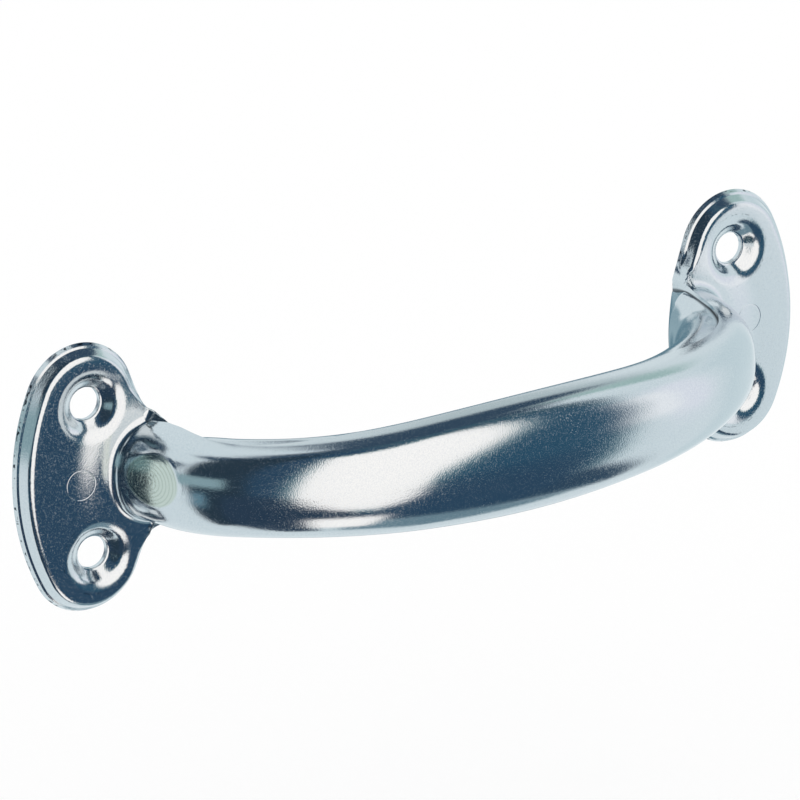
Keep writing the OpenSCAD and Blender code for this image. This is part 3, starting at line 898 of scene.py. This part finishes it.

# %% [markdown]
# Shears and punches tear the lower part of a cut edge, and the plate stays dark
# in the torn spots. They are drawn 0.8 mm wide, as coarse as they need to show.
# Along the line where the sheet laps over itself the colour is darkened as
# well, as painted shade in the crease. Both follow the surface, so they are
# laid by the level and the column that the mesh carries.

# %% Sheared edges and painted shade along the lapped line
TORN_LOW, TORN_HIGH, TORN_SIZE, TORN_FROM, TORN_FULL = 0.08, 0.75, 0.8, 0.54, 0.62
LAP_COLUMN, LAP_WIDE, LAP_NARROW, LAP_PAINTED_SHADE = PLATE_N + 0.95, 0.3, 0.1, 0.85
level = add_node(tree, "ShaderNodeAttribute", attribute_name="level").outputs["Fac"]
above = add_node(
    tree, "ShaderNodeMapRange", {"Value": level, "From Min": TORN_LOW, "From Max": 2 * TORN_LOW},
).outputs["Result"]
below = add_node(
    tree, "ShaderNodeMapRange", {"Value": level, "From Min": TORN_HIGH, "From Max": 0.8 * TORN_HIGH},
).outputs["Result"]
low = add_node(tree, "ShaderNodeMath", {0: above, 1: below}, operation="MULTIPLY").outputs[0]
torn = add_node(tree, "ShaderNodeTexNoise", {"Vector": place, "Scale": 1 / (TORN_SIZE * MM)}).outputs["Fac"]
torn = add_node(
    tree, "ShaderNodeMapRange", {"Value": torn, "From Min": TORN_FROM, "From Max": TORN_FULL},
).outputs["Result"]
torn = add_node(tree, "ShaderNodeMath", {0: torn, 1: low}, operation="MULTIPLY").outputs[0]
column = add_node(tree, "ShaderNodeAttribute", attribute_name="column").outputs["Fac"]
# Painted shade: a thin dark band along the lapped line, laid by the column.
lap = add_node(tree, "ShaderNodeMath", {0: column, 1: LAP_COLUMN}, operation="SUBTRACT").outputs[0]
lap = add_node(tree, "ShaderNodeMath", {0: lap}, operation="ABSOLUTE").outputs[0]
lap = add_node(
    tree, "ShaderNodeMapRange",
    {"Value": lap, "From Min": LAP_WIDE, "From Max": LAP_NARROW, "To Max": LAP_PAINTED_SHADE},
).outputs["Result"]
# The torn spots and the painted shade of the lapped line darken the colour together.
torn_spots_and_painted_shade = add_node(tree, "ShaderNodeMath", {0: torn, 1: lap}, operation="MAXIMUM").outputs[0]
colour = add_node(
    tree, "ShaderNodeMix", {0: torn_spots_and_painted_shade, 6: colour, 7: from_hex("#2E3A44")}, data_type="RGBA",
).outputs[2]
metal = add_node(
    tree, "ShaderNodeBsdfPrincipled",
    {"Base Color": colour, "Roughness": rough, "Normal": bump, "Metallic": 1.0},
)
add_node(tree, "ShaderNodeOutputMaterial", {"Surface": metal.outputs["BSDF"]})
mesh.materials.append(zinc)
for o in bpy.data.objects:
    if o.name == "handle" and o.type == "MESH":
        o.data.materials.clear()
        o.data.materials.append(zinc)
print("finish:", zinc.name)

# %% [markdown]
# Polished metal has no look of its own: it shows the room. Lamps alone would
# leave it black with a few hot dots, and a plain white room would leave it flat.
# A photographer puts a light tent over it, with dark and white cards on the
# cloth. This tent is a small ball round the handle, so that the two feet, which
# lie far apart, see its cards in different places, as they do in the photograph.
# Only mirrored rays see it. The camera looks through it from any side, and the
# floor gets its light from the plain white world.
#
# Each card is a row of the list, and a later card covers the earlier ones. Its
# edges are in degrees round the ball, with 0 straight out of the wall, 90 at the
# right and -90 at the left, and in degrees over the horizon. A lean says how
# many degrees a side edge moves for each degree up.

# %% Light tent
TENT_R = 0.3
CARDS = [
    # name, colour, light, left edge, lean, right edge, lean, low edge, high edge, softness
    ("teal-grey sheet high right", "#BBD3CE", 1.0, 90, 0, 132, 0, 34, 64, 5),
    ("dark top", "#3F5468", 1.0, -200, 0, 200, 0, 77, 100, 3),
    ("dark ceiling", "#3F5468", 1.0, -116, 0, 159, 0, 57, 100, 4),
    ("pale grey corner behind right", "#CCD6D8", 1.0, 160, -1.05, 152, 0, 10, 60, 6),
    ("dark corner behind right", "#3F5468", 1.0, 165, -1.05, 157, 0, 39, 100, 4),
    ("grey corner behind", "#A0B8C1", 1.0, 142, 0, 220, 0, -34, 10, 6),
    ("grey corner behind, past the seam", "#A0B8C1", 1.0, -220, 0, -166, 0, -34, 18, 6),
    ("blue-grey corner behind", "#678897", 1.0, 136, 0, 156, 0, -40, 9, 4),
    ("lilac sheet right", "#FCF9FF", 1.07, 54, 0, 73, 0, -15, 30, 6),
    ("grey sheet far right", "#E5F0F3", 1.0, 82, 0, 113, 0, -45, 27, 8),
    ("dark wall left", "#30414F", 1.0, -86.5, -0.13, -45, 0, -52, 100, 3),
    ("teal patch low left", "#7FA4B4", 1.0, -83, 0, -75, 0, -20, -12, 4),
    ("dark patch left", "#3F5468", 1.0, -113, 0, -96, 0, 15, 34, 3),
    ("grey streak left", "#9DB6BB", 1.0, -100, 0, -62, 0, -4, 13, 4),
    ("dark wall far left", "#40566A", 1.0, -137, 0, -121, 0, -38, 38, 5),
    ("teal edge of the front wall", "#6E979F", 1.0, 20, 0, 44, 0.12, -52, 100, 2.5),
    ("dark wall front", "#36526A", 1.0, -52, 0, 41.4, 0.12, -52, 100, 2.5),
    ("dark corner over the front wall", "#456272", 1.0, 30, 0, 26, 0.72, 31, 100, 4),
    ("blue-green part of the front wall", "#365C74", 1.0, 6, 0.42, 41.4, 0.12, -22, 60, 4),
    ("warm sheet beside the front wall", "#FFFAFA", 1.2, 42, 0.12, 57, 0, -10, 25, 5),
    ("darkest part of the front wall", "#2B4259", 1.0, 6, 0, 25, 0, -40, -19, 4),
    ("dark wedge low right", "#3A5267", 1.0, -10, 0, 3, -1.4, -50, -27, 3),
    ("grey floor cloth", "#7F98A4", 1.0, -20, 0, 60, 0, -76, -49, 5),
    ("dark corner low left", "#33465A", 1.0, -64, 0, -35, 0, -76, -18, 3),
    ("teal edge of the white box", "#6E979F", 1.0, -39.5, 0.1, 17, 0.42, -30, 72, 3),
    ("white box", "#FFF4EE", 1.45, -36.5, 0.1, 14, 0.42, -27, 69, 2.5),
    ("dark left corner under the white box", "#33465A", 1.0, -64, 0, -66, -1.7, -40, -13, 3),
    ("dark right corner under the white box", "#36526A", 1.0, 31, 1.42, 36, 0, -45, -17, 3),
    ("white box low", "#FFF4EE", 1.45, -33, 0.05, -1, 0.1, -63, -38, 3),
]

scene = bpy.context.scene
scene.view_settings.view_transform = "Standard"

bm = bmesh.new()
bmesh.ops.create_uvsphere(bm, u_segments=64, v_segments=32, radius=TENT_R)
tent_mesh = bpy.data.meshes.new("light_tent")
bm.to_mesh(tent_mesh)
bm.free()
tent = bpy.data.objects.new("light_tent", tent_mesh)
scene.collection.objects.link(tent)
tent.visible_camera = tent.visible_diffuse = tent.visible_shadow = tent.visible_transmission = False

cloth = bpy.data.materials.new("tent_cloth_and_cards")
cloth.use_nodes = True
tree = cloth.node_tree
tree.nodes.clear()
spot = add_node(tree, "ShaderNodeTexCoord").outputs["Object"]
across, deep, high_up = add_node(tree, "ShaderNodeSeparateXYZ", {"Vector": spot}).outputs[:]
front = add_node(tree, "ShaderNodeMath", {0: deep, 1: -1.0}, operation="MULTIPLY").outputs[0]
turn = add_node(tree, "ShaderNodeMath", {0: across, 1: front}, operation="ARCTAN2").outputs[0]
turn = add_node(tree, "ShaderNodeMath", {0: turn}, operation="DEGREES").outputs[0]
rise = add_node(tree, "ShaderNodeMath", {0: high_up, 1: TENT_R}, operation="DIVIDE").outputs[0]
rise = add_node(tree, "ShaderNodeMath", {0: rise}, operation="ARCSINE").outputs[0]
rise = add_node(tree, "ShaderNodeMath", {0: rise}, operation="DEGREES").outputs[0]
glow = add_node(tree, "ShaderNodeEmission", {"Color": from_hex("#F4FAFC"), "Strength": 1.0}).outputs[0]
for name, colour, light, left, left_lean, right, right_lean, low, high, soft in CARDS:
    share = 1.0
    sides = [(turn, left_lean, left, soft), (turn, right_lean, right, -soft)]
    ends = [(rise, 0, low, soft), (rise, 0, high, -soft)]
    for way, lean, edge, blur in sides + ends:
        slant = add_node(
            tree, "ShaderNodeMath", {0: rise, 1: -lean, 2: way}, operation="MULTIPLY_ADD",
        ).outputs[0]
        step = add_node(
            tree, "ShaderNodeMapRange", {"Value": slant, "From Min": edge - blur, "From Max": edge + blur},
            interpolation_type="SMOOTHSTEP",
        ).outputs["Result"]
        share = add_node(tree, "ShaderNodeMath", {0: share, 1: step}, operation="MULTIPLY").outputs[0]
    card = add_node(tree, "ShaderNodeEmission", {"Color": from_hex(colour), "Strength": light}).outputs[0]
    glow = add_node(tree, "ShaderNodeMixShader", {0: share, 1: glow, 2: card}).outputs[0]
add_node(tree, "ShaderNodeOutputMaterial", {"Surface": glow})
cloth.cycles.emission_sampling = "NONE"
tent_mesh.materials.append(cloth)
print("tent of", TENT_R, "m with", len(CARDS), "cards")

# %% [markdown]
# Round the tent the world is plain white, which is what the camera sees behind
# the handle, and a white floor a little below the handle keeps its soft shadow.
# From below the floor lets the view through, so that the underside can be seen.

# %% Room and floor
FLOOR_DOWN, FLOOR_HALF = 0.1, 4.0
world = bpy.data.worlds.new("white_room")
scene.world = world
world.use_nodes = True
sky = world.node_tree
sky.nodes.clear()
white = add_node(sky, "ShaderNodeBackground", {"Color": from_hex("#FFFFFF"), "Strength": 1.0})
add_node(sky, "ShaderNodeOutputWorld", {"Surface": white.outputs["Background"]})

bm = bmesh.new()
down = Matrix.Translation((0, 0, -FLOOR_DOWN))
bmesh.ops.create_grid(bm, x_segments=1, y_segments=1, size=FLOOR_HALF, matrix=down)
floor_mesh = bpy.data.meshes.new("floor")
bm.to_mesh(floor_mesh)
bm.free()
floor = bpy.data.objects.new("floor", floor_mesh)
scene.collection.objects.link(floor)
floor.visible_glossy = False

paper = bpy.data.materials.new("white_paper_floor")
paper.use_nodes = True
tree = paper.node_tree
tree.nodes.clear()
dull = add_node(tree, "ShaderNodeBsdfDiffuse", {"Color": from_hex("#FFFFFF")}).outputs[0]
clear = add_node(tree, "ShaderNodeBsdfTransparent").outputs[0]
below = add_node(tree, "ShaderNodeNewGeometry").outputs["Backfacing"]
sheet = add_node(tree, "ShaderNodeMixShader", {0: below, 1: dull, 2: clear}).outputs[0]
add_node(tree, "ShaderNodeOutputMaterial", {"Surface": sheet})
floor_mesh.materials.append(paper)
print("floor", FLOOR_DOWN * 1000, "mm below the middle of the handle")
